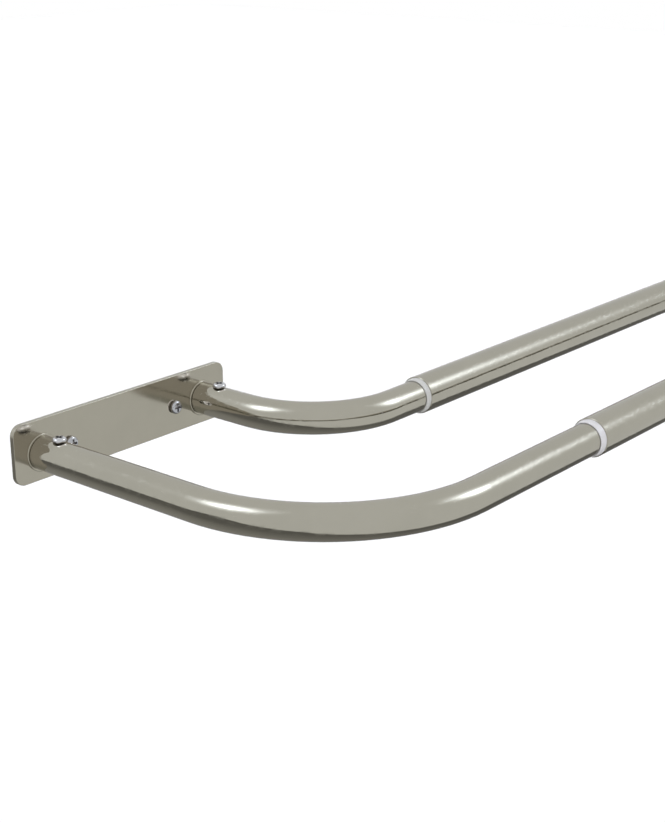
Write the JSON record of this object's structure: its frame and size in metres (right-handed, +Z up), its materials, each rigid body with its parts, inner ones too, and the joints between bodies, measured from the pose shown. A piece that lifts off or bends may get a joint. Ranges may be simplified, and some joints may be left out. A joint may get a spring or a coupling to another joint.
{
  "type": "double curtain pole",
  "caption": "Telescoping double curtain pole: two straight tubes slide on bent end tubes that wrap round to a wall plate at each side, with plastic collars and locking screws.",
  "frame": {"origin": "middle of the left wall plate's back face, on the wall", "axes": "+X along the wall from the left end to the right end, +Y into the wall, +Z up"},
  "size_m": [0.7523, 0.2174, 0.0288],
  "materials": {
    "plate": "polished warm nickel plate",
    "elbow": "polished warm nickel plate",
    "centre_tube": "polished warm nickel plate",
    "post": "turned, warm nickel plate",
    "lock_screw": "bright zinc plate",
    "wall_screw": "bright zinc plate",
    "collar": "moulded, satin white",
    "glide": "moulded, natural white"
  },
  "bodies": {
    "left_end": {"left_wall_plate": "plate", "left_front_post": "post", "left_front_elbow": "elbow", "left_front_lock_screw": "lock_screw", "left_front_glide": "glide", "left_rear_post": "post", "left_rear_elbow": "elbow", "left_rear_lock_screw": "lock_screw", "left_rear_glide": "glide", "left_outer_wall_screw": "wall_screw", "left_inner_wall_screw": "wall_screw"},
    "front_tube": {"front_centre_tube": "centre_tube", "left_front_collar": "collar", "right_front_collar": "collar"},
    "rear_tube": {"rear_centre_tube": "centre_tube", "left_rear_collar": "collar", "right_rear_collar": "collar"},
    "right_end": {"right_wall_plate": "plate", "right_front_post": "post", "right_front_elbow": "elbow", "right_front_lock_screw": "lock_screw", "right_front_glide": "glide", "right_rear_post": "post", "right_rear_elbow": "elbow", "right_rear_lock_screw": "lock_screw", "right_rear_glide": "glide", "right_outer_wall_screw": "wall_screw", "right_inner_wall_screw": "wall_screw"}
  },
  "joints": [
    {"name": "front_tube_slide", "type": "slide", "parent": "left_end", "child": "front_tube", "axis": [1, 0, 0], "range_m": [-0.018, 0.13]},
    {"name": "rear_tube_slide", "type": "slide", "parent": "left_end", "child": "rear_tube", "axis": [1, 0, 0], "range_m": [-0.018, 0.13]},
    {"name": "right_end_slide", "type": "slide", "parent": "front_tube", "child": "right_end", "axis": [1, 0, 0], "range_m": [-0.018, 0.13]}
  ],
  "couplings": [
    {"joint": "rear_tube_slide", "follows": "front_tube_slide", "ratio": 1}
  ]
}
